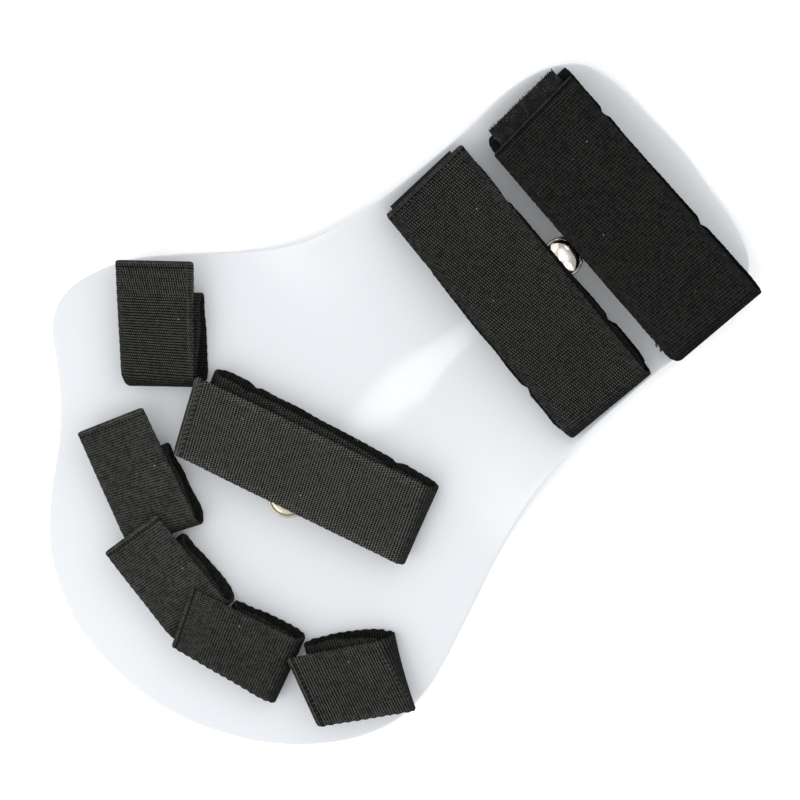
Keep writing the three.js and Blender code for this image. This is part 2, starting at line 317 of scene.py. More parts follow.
# Rivets
dome = {
    "radius": 0.0077,
    "height": 0.0021,
    "crown": 0.92,  # the share of the radius inside the flat ledge
    "shank": 0.0024,
    "turns": 72,
}
loopRivet = {
    "radius": 0.004,
    "height": 0.0009,
    "crown": 0.88,
    "shank": 0.0016,
    "turns": 32,
}
tail = {
    "thickness": 0.001,
    "share": 0.9,  # of the head's radius
    "clear": 0.0003,
    "turns": 48,
}
cap = {
    "roll": 0.16,  # radius of the rolled rim, as a share of the head's height
    "rollSteps": 6,
    "steps": 16,  # from the ledge to the middle
    "dish": 0.1,  # how much of the crown's fall is spread over all of it
    "fall": 14,  # how late the rest falls, as a power
}
nickel = {
    "name": "nickel",
    "low": (0.24, 0.22, 0.21),
    "high": (0.74, 0.70, 0.60),
    "roughness": 0.05,
    "dents": 0.16,
}
wornNickel = {
    "name": "worn_nickel",
    "low": (0.40, 0.37, 0.29),
    "high": (0.46, 0.43, 0.35),
    "roughness": 0.34,
    "dents": 0.1,
}
metal = {
    "cloudPace": 180,
    "tarnishPace": 210,
    "finePace": 2200,
    "dentPace": 120,
    "tarnish": (0.51, 0.55),  # dark under the first, bright over the second
    "tarnishShare": 0.8,
    "relief": 0.0012,
}


def rivetSeat(x, y):
    turn = Vector((0, 0, 1)).rotation_difference(boardNormal(x, y)).to_matrix().to_4x4()
    return Matrix.Translation((x, y, boardHeight(x, y) + board["thickness"])) @ turn


def rivetMesh(sizes, raised, seat):
    radius, height, shank = sizes["radius"], sizes["height"], sizes["shank"]
    bottom = -board["thickness"] + tail["clear"] / 2
    head = raised + tail["clear"]
    roll = height * cap["roll"]
    wide, tailTop = radius * tail["share"], bottom + tail["thickness"]
    profile = [
        (0, bottom), (wide - roll, bottom), (wide, bottom + roll), (wide, tailTop),
        (shank, tailTop), (shank, head), (radius - roll, head),
    ]
    for step in range(1, cap["rollSteps"] + 1):
        angle = math.pi * (step / cap["rollSteps"] - 0.5)
        out, rise = roll * math.cos(angle), roll * math.sin(angle)
        profile.append((radius - roll + out, head + roll + rise))
    ledge = 2 * roll
    for step in range(cap["steps"] + 1):
        share = math.sin(math.pi / 2 * (1 - step / cap["steps"]))
        crown = 1 - cap["dish"] * share**2 - (1 - cap["dish"]) * share ** cap["fall"]
        profile.append((radius * sizes["crown"] * share, head + ledge + (height - ledge) * crown))
    bm = bmesh.new()
    verts = [bm.verts.new((r, 0, z)) for r, z in profile]
    edges = [bm.edges.new(pair) for pair in zip(verts, verts[1:])]
    bmesh.ops.spin(
        bm, geom=verts + edges, cent=(0, 0, 0), axis=(0, 0, 1),
        angle=2 * math.pi, steps=sizes["turns"], use_merge=True,
    )
    bmesh.ops.remove_doubles(bm, verts=bm.verts[:], dist=board["weld"])
    bmesh.ops.recalc_face_normals(bm, faces=bm.faces[:])
    bmesh.ops.transform(bm, matrix=seat, verts=bm.verts[:])
    return bm


def tailCutter(bm, sizes, seat):
    radius = sizes["radius"] * tail["share"] + tail["clear"]
    depth = tail["thickness"] + 2 * tail["clear"]
    middle = -board["thickness"] - depth / 2 + tail["thickness"] + tail["clear"]
    place = seat @ Matrix.Translation((0, 0, middle))
    bmesh.ops.create_cone(
        bm, cap_ends=True, segments=tail["turns"], radius1=radius, radius2=radius,
        depth=depth, matrix=place,
    )


# Webbing
webbing = {
    "thickness": 0.0015,
    "gap": 0.0003,
    "step": 0.0005,  # along the webbing
    "cells": 18,  # across it
    "edge": 0.00045,
    "corner": 0.0012,  # rounding of the free end's corners
    "pathSteps": 60,  # per stretch of a loop
    "tuck": 0.001,  # how far the hidden end passes the fold's middle
    "liftFrom": -0.1,  # where the free end starts to rise, as shares of half the loop
    "liftTo": 0.6,
    "domeFrom": 1.4,  # it lies on a dome out to these shares of the dome's radius
    "domeTo": 2.1,
}
hemShape = {  # the lengths are shares of the loop's own hem
    "rise": 0.0003,
    "groove": 0.0004,
    "seamFrom": 0.6,
    "proudTo": 0.95,
    "grooveTo": 1.5,
    "pucker": 0.25,  # share of the groove that comes and goes
    "puckerPitch": 0.0017,
}
edgeShape = {
    "edgeFrom": 0.2,  # the edge moves from this share of the width out
    "pipFrom": 0.4,
    "edgeTo": 0.5,
    "wanderPace": 90,  # per metre
    "wanderApart": 3,  # keeps the two edges unlike
    "wander": 0.0003,
    "topWander": 0.00012,
    "fullness": 0.25,  # power of the lower edges' bow
    "taperFrom": 0.002,
    "pinchLength": 0.0032,
    "foldClear": 0.01,  # the bow starts this far from the folds
}
# under is the share of the top's lean that the lower layers take. pinch is how far their edges
# draw in at a rivet and taper how far towards the inner fold. Pips are the edge's small waves.
kinds = {
    "finger": {
        "width": 0.028, "hollow": 0.0064, "length": 0.036, "tab": 0.012, "sag": 0,
        "under": 0.5, "pinch": 0, "pipPitch": 0.0032, "taper": 0.0014,
    },
    "palm": {
        "width": 0.031, "hollow": 0.008, "length": 0.096, "tab": 0.004, "sag": 0,
        "under": 0.5, "pinch": 0.0009, "pipPitch": 0.0030, "taper": 0,
    },
    "wide": {
        "width": 0.038, "hollow": 0.005, "length": 0.112, "tab": 0.003, "sag": 0.002,
        "under": 1.0, "pinch": 0.0010, "pipPitch": 0.0026, "taper": 0,
    },
}
# along and across place the layer on the board, and turn is the way the free end points, in
# degrees. length and tab are shares of the kind's sizes. foldLean, wide and foldSlant shape the
# top layer at its fold, lean, tabWide and slant at its free end, and lift raises that end. bulge
# is how far the lower layers' edges stand out, skew how unevenly, and notches where they draw in.
# rivets and notches are shares of the loop's length. tone and contrast are the weave's, ridge the
# painted highlight along the hem, turned the painted shade round the outer fold, and zone the
# length of a finer weave in mm.
usual = {  # what a loop has unless its own row says otherwise
    "kind": "finger", "weave": "ribbed", "rivets": [0], "notches": [0], "skew": 0, "zone": 0,
    "hemHighlight": 0.22,
}
loops = [
    {
        "name": "thumb_loop", "along": 0.3315, "across": 0.641, "turn": 52.3, "length": 0.985,
        "tab": 1.02, "lean": 0.155, "foldLean": 0.177, "wide": 0.982, "tabWide": 1.061, "lift": 0.4,
        "slant": 0.067, "foldSlant": 0.117, "tone": 0.57, "hem": 0.0022, "pip": 0.00006,
        "contrast": 1.4, "turned": 0.15, "zone": 15, "bulge": 0.0002,
    },
    {
        "name": "index_loop", "along": 0.187, "across": 0.263, "turn": 75.8, "length": 0.90,
        "tab": 1.37, "lean": 0.0925, "foldLean": 0.125, "wide": 0.98, "tabWide": 0.95, "lift": 0.4,
        "slant": 0.071, "foldSlant": 0.229, "tone": 0.68, "hem": 0.0022, "pip": 0.00006,
        "contrast": 0.7, "turned": 0.1, "bulge": -0.0002,
    },
    {
        "name": "middle_loop", "along": 0.1385, "across": -0.044, "turn": 89.5, "length": 0.88,
        "tab": 1.0, "lean": 0.08, "foldLean": 0.109, "wide": 0.889, "tabWide": 0.863, "lift": 1,
        "slant": 0.046, "foldSlant": 0.149, "tone": 0.7, "hem": 0.0018, "pip": 0.00008,
        "contrast": 0.65, "turned": 0.1, "bulge": 0.0001,
    },
    {
        "name": "ring_loop", "along": 0.159, "across": -0.378, "turn": 113.9, "length": 0.84,
        "tab": 1.30, "lean": 0.04, "foldLean": 0.098, "wide": 0.925, "tabWide": 0.84, "lift": 1,
        "slant": -0.109, "foldSlant": -0.031, "tone": 0.6, "hem": 0.0015, "pip": 0.00018,
        "contrast": 0.85, "turned": 0.2, "zone": 13, "bulge": 0.0003,
    },
    {
        "name": "little_loop", "along": 0.2425, "across": -0.663, "turn": 145.7, "length": 0.96,
        "tab": 0.38, "lean": 0.211, "foldLean": 0.121, "wide": 0.993, "tabWide": 0.964, "lift": 1,
        "slant": -0.330, "foldSlant": -0.37, "tone": 0.67, "hem": 0.0019, "pip": 0.00016,
        "contrast": 1.1, "turned": 0.3, "bulge": 0.0012,
    },
    {
        "name": "palm_strap", "kind": "palm", "along": 0.3714, "across": -0.0065, "turn": 111.9,
        "length": 0.993, "tab": 0.9, "lean": 0.224, "foldLean": 0.106, "wide": 1.006,
        "tabWide": 0.971, "lift": 0.8, "slant": -0.203, "foldSlant": -0.143,
        "rivets": [-0.23, 0.34], "tone": 0.94, "weave": "palm", "hem": 0.0026, "pip": 0.00009,
        "contrast": 1.5, "turned": 0.4, "bulge": 0.0002, "notches": [-0.295, 0.34],
    },
    {
        "name": "wrist_strap", "kind": "wide", "along": 0.7178, "across": -0.015, "turn": 90.4,
        "length": 0.99, "tab": 0.08, "lean": 0.001, "foldLean": 0.0605, "wide": 1.01,
        "tabWide": 1.03, "lift": 0.4, "slant": -0.065, "foldSlant": 0.032, "rivets": [-0.27, 0.27],
        "tone": 0.5, "weave": "wrist", "hem": 0.0019, "pip": 0.00005, "contrast": 1.2, "hemHighlight": 0.3,
        "turned": 0.1, "bulge": 0.0011, "skew": 0.9, "notches": [-0.27, 0.27],
    },
    {
        "name": "forearm_strap", "kind": "wide", "along": 0.892, "across": -0.042, "turn": 91.3,
        "length": 1.0, "tab": -1.6, "lean": 0.085, "foldLean": 0.102, "wide": 1.105,
        "tabWide": 1.095, "lift": 0.5, "slant": -0.084, "foldSlant": 0.042, "rivets": [-0.12, 0.34],
        "tone": 0.25, "weave": "forearm", "hem": 0.0011, "pip": 0.00005, "contrast": 0.8,
        "hemHighlight": 0.8, "turned": 0.1, "bulge": 0.0002, "notches": [-0.195, 0.305],
    },
]
domes = [
    {"name": "forearm_dome_rivet", "along": 0.7913, "across": -0.019, "worn": False},
    {"name": "palm_dome_rivet", "along": 0.3170, "across": -0.0446, "worn": True},
]
loops = [{**usual, **row} for row in loops]
for row in loops + domes:
    row["x"] = tipX + row["along"] * boardLength
    row["y"] = midY + row["across"] * board["thumbReach"]


def loopPath(loop):
    # The webbing's centre line in a loop, seen from its edge: from the end of the middle layer
    # round the inner fold, along the board, round the outer fold and over the top.
    kind = kinds[loop["kind"]]
    thick = webbing["thickness"]
    half = kind["length"] * loop["length"] / 2
    bottom = webbing["gap"] + thick / 2
    middle = bottom + kind["hollow"] + thick
    top = middle + thick + webbing["gap"]
    innerRadius, outerRadius = (middle - bottom) / 2, (top - bottom) / 2
    innerCentre = half - innerRadius - thick / 2
    outerCentre = -half + outerRadius + thick / 2
    freeEnd = half + kind["tab"] * loop["tab"]
    tabLift = (thick + 2 * webbing["gap"]) * loop["lift"]
    steps = webbing["pathSteps"]
    points = []
    for step in range(steps):
        points.append((mix(outerCentre - webbing["tuck"], innerCentre, step / steps), middle))
    for step in range(steps):
        angle = math.pi / 2 - math.pi * step / steps
        rise = innerRadius + innerRadius * math.sin(angle)
        points.append((innerCentre + innerRadius * math.cos(angle), bottom + rise))
    for step in range(steps):
        points.append((mix(innerCentre, outerCentre, step / steps), bottom))
    for step in range(steps):
        angle = -math.pi / 2 - math.pi * step / steps
        rise = outerRadius + outerRadius * math.sin(angle)
        points.append((outerCentre + outerRadius * math.cos(angle), bottom + rise))
    for step in range(steps + 1):
        reach = mix(outerCentre, freeEnd, step / steps)
        raised = ease(reach, half * webbing["liftFrom"], half * webbing["liftTo"])
        points.append((reach, top + tabLift * raised))
    points = [Vector(point) for point in points]
    reached = [0.0]
    for a, b in zip(points, points[1:]):
        reached.append(reached[-1] + (b - a).length)
    return {
        "points": points, "reached": reached, "length": reached[-1], "half": half,
        "bottom": bottom, "top": top, "freeEnd": freeEnd, "outerCentre": outerCentre,
        "lowerFrom": reached[steps], "upperFrom": reached[3 * steps],
        "topFrom": reached[4 * steps],
    }


def along(path, distance):
    # The point at that distance along the path, and the way out of the webbing there.
    reached = path["reached"]
    index = min(max(bisect_right(reached, distance) - 1, 0), len(path["points"]) - 2)
    a, b = path["points"][index], path["points"][index + 1]
    share = (distance - reached[index]) / (reached[index + 1] - reached[index])
    way = (b - a).normalized()
    return a.lerp(b, share), Vector((-way.y, way.x))


def domeRise(x, y):
    rises = []
    for row in domes:
        away = math.hypot(x - row["x"], y - row["y"])
        near, far = (webbing[key] * dome["radius"] for key in ("domeFrom", "domeTo"))
        share = 1 - ease(away, near, far)
        rises.append(share * (dome["height"] + webbing["gap"]))
    return max(rises)


def hemRelief(loop, path, flat):
    # The folded end stands proud, and its seam is drawn in.
    left, hem = path["length"] - flat.x, loop["hem"]
    seam, pucker = hem * hemShape["seamFrom"], hemShape["pucker"]
    proud = 1 - ease(left, seam, hem * hemShape["proudTo"])
    drawn = ease(left, seam, hem) - ease(left, hem, hem * hemShape["grooveTo"])
    drawn *= 1 - pucker + pucker * math.cos(2 * math.pi * flat.y / hemShape["puckerPitch"])
    return hemShape["rise"] * proud - hemShape["groove"] * drawn


def place(loop, u, across, height, raised=1):
    # Strap measures to the room: u along the strap, across to its left. A raised point rides on
    # the strap's two ends, a lower one follows the board.
    half, sag = loop["path"]["half"], kinds[loop["kind"]]["sag"]
    cos, sin = math.cos(math.radians(loop["turn"])), math.sin(math.radians(loop["turn"]))
    x = loop["x"] + u * cos - across * sin
    y = loop["y"] + u * sin + across * cos
    ends = [boardHeight(loop["x"] + s * half * cos, loop["y"] + s * half * sin) for s in (1, -1)]
    bridge = sum(ends) / 2 - sag * max(0, 1 - (u / half) ** 2)
    ground = (1 - raised) * (boardHeight(x, y) + domeRise(x, y)) + raised * bridge
    return Vector((x, y, board["thickness"] + ground + height))


def bend(loop, flat):
    # Takes a point of the flat webbing (distance along, across, out of it) to its place.
    kind, path = kinds[loop["kind"]], loop["path"]
    width, half = kind["width"], path["half"]
    centre, out = along(path, flat.x)
    point = centre + out * (flat.z + (hemRelief(loop, path, flat) if flat.z > 0 else 0))
    share = flat.y / width
    side = 1 if share > 0 else -1
    lower = flat.x < path["upperFrom"]
    rise = min(max((centre.y - path["bottom"]) / (path["top"] - path["bottom"]), 0), 1)
    whole = path["freeEnd"] - path["outerCentre"]
    toTab = min(max((point.x - path["outerCentre"]) / whole, 0), 1)
    wide = 1 + rise * (mix(loop["wide"], loop["tabWide"], toTab) - 1)
    follow = rise * (mix(1, kind["under"], ease(toTab, 0, 0.5)) if lower else 1)
    lean = follow * mix(loop["foldLean"], loop["lean"], toTab)
    slant = rise * mix(loop["foldSlant"], loop["slant"], toTab)
    across = width * (share * wide + lean)
    edge = ease(abs(share), edgeShape["edgeFrom"], edgeShape["edgeTo"])
    pace, apart = edgeShape["wanderPace"], edgeShape["wanderApart"]
    wander = noise.noise(Vector((flat.x * pace, loop["turn"], side * apart)))
    if lower:
        bulge = loop["bulge"] * max(0, 1 - (point.x / half) ** 2) ** edgeShape["fullness"]
        bulge = bulge * (1 - loop["skew"] * point.x / half) + wander * edgeShape["wander"]
        bulge -= kind["taper"] * ease(point.x, edgeShape["taperFrom"], half)
        for notch in loop["notches"]:
            away = abs(point.x - notch * 2 * half)
            bulge -= kind["pinch"] * (1 - ease(away, 0, edgeShape["pinchLength"]))
        across += side * edge * bulge * ease(half - abs(point.x), 0, edgeShape["foldClear"])
    pips = math.cos(2 * math.pi * flat.x / kind["pipPitch"] + wander)
    outmost = ease(abs(share), edgeShape["pipFrom"], edgeShape["edgeTo"])
    across += side * outmost * (loop["pip"] * pips + wander * edgeShape["topWander"])
    return place(loop, point.x + slant * width * share, across, point.y, rise)


def stripMesh(length, width, thick, step, cells, edge):
    # A flat strip with rounded edges, its UV in metres from its far end and its middle.
    bm = bmesh.new()
    bmesh.ops.create_grid(bm, x_segments=round(length / step), y_segments=cells, size=1)
    bmesh.ops.scale(bm, vec=(length / 2, width / 2, 1), verts=bm.verts[:])
    bmesh.ops.translate(bm, vec=(length / 2, 0, -thick / 2), verts=bm.verts[:])
    made = bmesh.ops.extrude_face_region(bm, geom=bm.faces[:])
    raised = [part for part in made["geom"] if isinstance(part, bmesh.types.BMVert)]
    bmesh.ops.translate(bm, vec=(0, 0, thick), verts=raised)
    bmesh.ops.recalc_face_normals(bm, faces=bm.faces[:])
    rim = [e for e in bm.edges if len(e.link_faces) == 2 and e.calc_face_angle() > 1]
    bmesh.ops.bevel(
        bm, geom=rim, offset=edge, offset_type="OFFSET", segments=2, profile=0.5,
        affect="EDGES", material=-1,
    )
    uv = bm.loops.layers.uv.new("webbing")
    for face in bm.faces:
        upright = abs(face.normal.y) > 0.7
        for corner in face.loops:
            co = corner.vert.co
            corner[uv].uv = (length - co.x, co.y + (co.z if upright else 0))
    return bm


def loopMesh(loop):
    kind, path, corner = kinds[loop["kind"]], loop["path"], webbing["corner"]
    bm = stripMesh(
        path["length"], kind["width"], webbing["thickness"],
        webbing["step"], webbing["cells"], webbing["edge"],
    )
    for vert in bm.verts:
        flat = vert.co.copy()
        left = max(path["length"] - flat.x, 0)
        if left < corner:
            cut = corner - math.sqrt(corner**2 - (corner - left) ** 2)
            flat.y *= 1 - 2 * cut / kind["width"]
        vert.co = bend(loop, flat)
    bmesh.ops.recalc_face_normals(bm, faces=bm.faces[:])
    return bm


# Stitches: rows from start to end, each as mm from the free end and mm across. The other sizes
# are in mm too, and turn is against the webbing's length, in degrees.
stitchRows = {
    "thumb_loop": [
        {
            "start": (2.3, -12), "end": (2.3, 12.5), "pitch": 1.7,
            "length": 0.9, "width": 0.35, "turn": 90,
        },
        {
            "start": (3, -11.4), "end": (38, -12.2), "pitch": 1.05,
            "length": 1.3, "width": 0.42, "turn": 35,
        },
        {
            "start": (1, -13.5), "end": (14, -13.6), "pitch": 1.1,
            "length": 1.1, "width": 0.4, "turn": -30,
        },
    ],
    "index_loop": [
        {
            "start": (2.4, -12), "end": (2.4, 11), "pitch": 1.45,
            "length": 1.5, "width": 0.42, "turn": 12,
        },
    ],
    "middle_loop": [
        {
            "start": (1.9, -11), "end": (1.9, 11), "pitch": 1.5,
            "length": 1.3, "width": 0.42, "turn": -14,
        },
    ],
    "ring_loop": [
        {
            "start": (1.4, -11), "end": (1.4, 11), "pitch": 1.25,
            "length": 0.8, "width": 0.4, "turn": 90,
        },
        {
            "start": (2.6, -11), "end": (2.6, 11), "pitch": 1.9,
            "length": 0.8, "width": 0.3, "turn": 0,
        },
    ],
    "little_loop": [
        {
            "start": (2.1, -12), "end": (2.1, 12), "pitch": 1.9,
            "length": 1.2, "width": 0.45, "turn": 10,
        },
        {
            "start": (34.6, -8), "end": (36.6, 9), "pitch": 1.8,
            "length": 1.7, "width": 0.5, "turn": 12,
        },
    ],
    "palm_strap": [
        {
            "start": (2.4, -13.3), "end": (2.4, 13.3), "pitch": 1.9,
            "length": 3.4, "width": 1.25, "turn": 38,
        },
    ],
    "wrist_strap": [
        {
            "start": (2.2, -17), "end": (2.2, 17), "pitch": 1.7,
            "length": 1.4, "width": 0.5, "turn": 14,
        },
    ],
}
stitch = {
    "jitter": 6,  # degrees
    "shortest": 0.85,
    "longest": 1.1,
    "flatness": 1.3,  # width over height
    "low": (0.006, 0.006, 0.005),
    "high": (0.050, 0.050, 0.045),
    "plyPace": 2500,
    "relief": 0.00006,
}


def stitchMesh(loop, rows):
    bm = bmesh.new()
    for row in rows:
        start, end = Vector(row["start"]), Vector(row["end"])
        count = round((end - start).length / row["pitch"])
        for number in range(count + 1):
            left, across = start.lerp(end, number / count) / 1000
            spot = Vector((loop["path"]["length"] - left, across, webbing["thickness"] / 2))
            turn = math.radians(row["turn"] + random.uniform(-stitch["jitter"], stitch["jitter"]))
            length = row["length"] * random.uniform(stitch["shortest"], stitch["longest"]) / 2000
            width = row["width"] / 2000
            shape = Matrix.Diagonal((length, width, width / stitch["flatness"], 1))
            shape = Matrix.Translation(spot) @ Matrix.Rotation(turn, 4, "Z") @ shape
            bmesh.ops.create_uvsphere(bm, u_segments=6, v_segments=4, radius=1, matrix=shape)
    for vert in bm.verts:
        vert.co = bend(loop, vert.co.copy())
    return bm


# Hook tapes, sewn under the two wide free ends: reach and across from the strap's middle
tapes = {
    "forearm_strap": {
        "reach": 0.0582, "across": 0.00275, "width": 0.0333, "length": 0.0125, "rough": True,
    },
    "wrist_strap": {
        "reach": 0.0570, "across": 0.0008, "width": 0.0308, "length": 0.008, "rough": False,
    },
}
tape = {
    "thickness": 0.0008,
    "height": 0.0089,  # of its middle, over the board
    "slant": -0.048,
    "step": 0.0005,
    "cells": 24,
    "edge": 0.00025,
    "lumpPace": 900,  # per metre
    "lumps": 0.00018,
    "low": (0.0010, 0.0010, 0.0010),
    "high": (0.0075, 0.0075, 0.0068),
    "gritPace": 1500,
    "patchPace": 260,
    "grit": (0.42, 0.68),  # dark under the first, light over the second
    "patches": (0.38, 0.62),
    "relief": 0.00012,
}
hooks = {
    "wire": 0.00016,
    "radius": 0.00050,
    "arc": 215,  # degrees
    "arcSteps": 6,
    "pitch": 0.00095,
    "strayAlong": 0.3,  # shares of the pitch
    "strayAcross": 0.25,
    "smallest": 0.7,
    "largest": 1.15,
    "turn": 0.7,  # most either way, in radians
    "tilt": 0.5,
    "low": (0.0015, 0.0015, 0.0014),
    "high": (0.056, 0.056, 0.052),
}
# Frayed ends at the forearm strap's far fold (mm along and across), each a stretched hook
frays = [
    {"spot": (-45.4, 24.15), "turn": 1.9, "size": 2.4},
    {"spot": (-48.2, 23.85), "turn": 1.5, "size": 3.0},
    {"spot": (-50.6, 23.55), "turn": 1.2, "size": 2.6},
    {"spot": (-52.8, 22.95), "turn": 0.9, "size": 2.2},
]
fray = {
    "height": 0.0085,
    "tilt": 1.2,
}


def tapeSpot(loop, row, flat):
    u = row["reach"] - row["length"] + flat.x + tape["slant"] * flat.y
    return place(loop, u, row["across"] + flat.y, tape["height"] + flat.z)


def tapeMesh(loop, row):
    bm = stripMesh(
        row["length"], row["width"], tape["thickness"], tape["step"], tape["cells"], tape["edge"]
    )
    for vert in bm.verts:
        flat = vert.co.copy()
        if row["rough"]:
            flat += noise.noise_vector(flat * tape["lumpPace"]) * tape["lumps"]
        vert.co = tapeSpot(loop, row, flat)
    return bm


def hookShape():
    # One hook is a short arc of wire.
    one = bmesh.new()
    bmesh.ops.create_circle(
        one, segments=4, radius=hooks["wire"], matrix=Matrix.Translation((hooks["radius"], 0, 0))
    )
    bmesh.ops.spin(
        one, geom=one.verts[:] + one.edges[:], cent=(0, 0, 0), axis=(0, 1, 0),
        angle=math.radians(-hooks["arc"]), steps=hooks["arcSteps"], use_merge=False,
    )
    bmesh.ops.holes_fill(one, edges=one.edges[:], sides=4)
    bmesh.ops.recalc_face_normals(one, faces=one.faces[:])
    hook = bpy.data.meshes.new("hook")
    one.to_mesh(hook)
    one.free()
    return hook


def addHook(bm, hook, turned):
    start = len(bm.verts)
    bm.from_mesh(hook)
    bm.verts.ensure_lookup_table()
    for vert in bm.verts[start:]:
        vert.co = turned @ vert.co
    return bm.verts[start:]


def fraysMesh(loop):
    hook = hookShape()
    bm = bmesh.new()
    for row in frays:
        turned = Matrix.Rotation(row["turn"], 4, "Z") @ Matrix.Rotation(fray["tilt"], 4, "X")
        stretched = Matrix.Diagonal((row["size"], 1, row["size"], 1))
        u, across = (value / 1000 for value in row["spot"])
        for vert in addHook(bm, hook, turned @ stretched):
            point = vert.co
            vert.co = place(loop, u + point.x, across + point.y, fray["height"] + point.z)
    bpy.data.meshes.remove(hook)
    return bm


def hooksMesh(loop, row):
    hook = hookShape()
    bm = bmesh.new()
    pitch = hooks["pitch"]
    for column in range(int(row["length"] / pitch) + 2):
        for number in range(int(row["width"] / pitch)):
            x = min(column * pitch, row["length"])
            x += random.uniform(-hooks["strayAlong"], hooks["strayAlong"]) * pitch
            y = (number + 0.5) * pitch - row["width"] / 2
            y += random.uniform(-hooks["strayAcross"], hooks["strayAcross"]) * pitch
            flat = Vector((x, y, tape["thickness"] / 2))
            size = random.uniform(hooks["smallest"], hooks["largest"])
            turn = random.uniform(-hooks["turn"], hooks["turn"]) + math.pi * random.choice((0, 1))
            tilt = Matrix.Rotation(random.uniform(-hooks["tilt"], hooks["tilt"]), 4, "X")
            turned = Matrix.Rotation(turn, 4, "Z") @ tilt @ Matrix.Scale(size, 4)
            for vert in addHook(bm, hook, turned):
                vert.co = tapeSpot(loop, row, flat + vert.co)
    bpy.data.meshes.remove(hook)
    return bm


# Finishes
# rib, bead and selvage are in mm, shift is how far each rib's beads move on, as a share of their
# pitch, and ribPart and edgeRib are how much of the relief the ribs make, inside and at the edge.
weaves = {
    "ribbed": {
        "rib": 1.03, "bead": 0.84, "shift": 0.5, "ribPart": 0.48, "selvage": 2.2, "edgeRib": 0.28,
    },
    "palm": {
        "rib": 1.06, "bead": 0.743, "shift": 0.21, "ribPart": 0.42, "selvage": 2.8, "edgeRib": 0.28,
    },
    "wrist": {
        "rib": 1.25, "bead": 0.93, "shift": 0.27, "ribPart": 0.25, "selvage": 3.2, "edgeRib": 0.08,
    },
    "forearm": {
        "rib": 1.34, "bead": 1.0, "shift": 0.24, "ribPart": 0.34, "selvage": 3.2, "edgeRib": 0.08,
    },
}
thread = {
    "high": (0.086, 0.086, 0.078),
    "low": (0.0012, 0.0012, 0.0010),
    "lintColour": (0.35, 0.35, 0.33),
    "lintShare": 0.7,
    "relief": 0.00025,
    "gloss": 0.06,
    "roughHigh": 0.88,
    "roughFall": 0.16,  # less on the weave's tops
    "swayPace": 160,  # how fine each noise is
    "cloudPace": 55,
    "lintPace": 900,
    "fuzzPace": 2600,
    "fuzz": 0.35,  # of the relief
    "lint": (0.875, 0.90),  # more of the noise than this is lint
    "ribSway": 0.35,  # wander of the ribs and beads, as shares of their pitch
    "beadSway": 0.25,
    "brick": 0.37,  # how far each row of threads is set against the last
    "beadPart": 0.6,  # of what the ribs leave
    "zonePitch": 0.86,  # of the finer weave, in mm
    "zoneFrom": -4,  # where it gives way to the plain one, from the zone's end
    "zoneTo": 2,
    "edgePitch": 0.9,
    "edgeBlur": 0.3,
    "edgeBase": 0.37,
    "dark": 0.24,  # reliefs that are all dark and all light
    "light": 0.82,
    "even": 0.45,  # what a weave without contrast shows
    "seam": 1.15,  # place of the seam, as a share of the hem
    "seamDepth": 0.75,
    "seamFrom": 0.15,  # half widths of its dark line, in mm
    "seamTo": 0.65,
    "hemHighlightFrom": 0.5,  # end of the painted highlight along the hem, as shares of it
    "hemHighlightTo": 0.9,
    "paintedShadeWide": 0.85,  # how dark the painted shade on the lower layers is
    "paintedShadeNarrow": 0.6,
    "paintedShadeEnd": 0.55,  # how far round the outer fold the painted shade is full
    "innerEnd": 8,  # mm of the inner fold that get some painted light back
    "innerLight": 0.2,
}


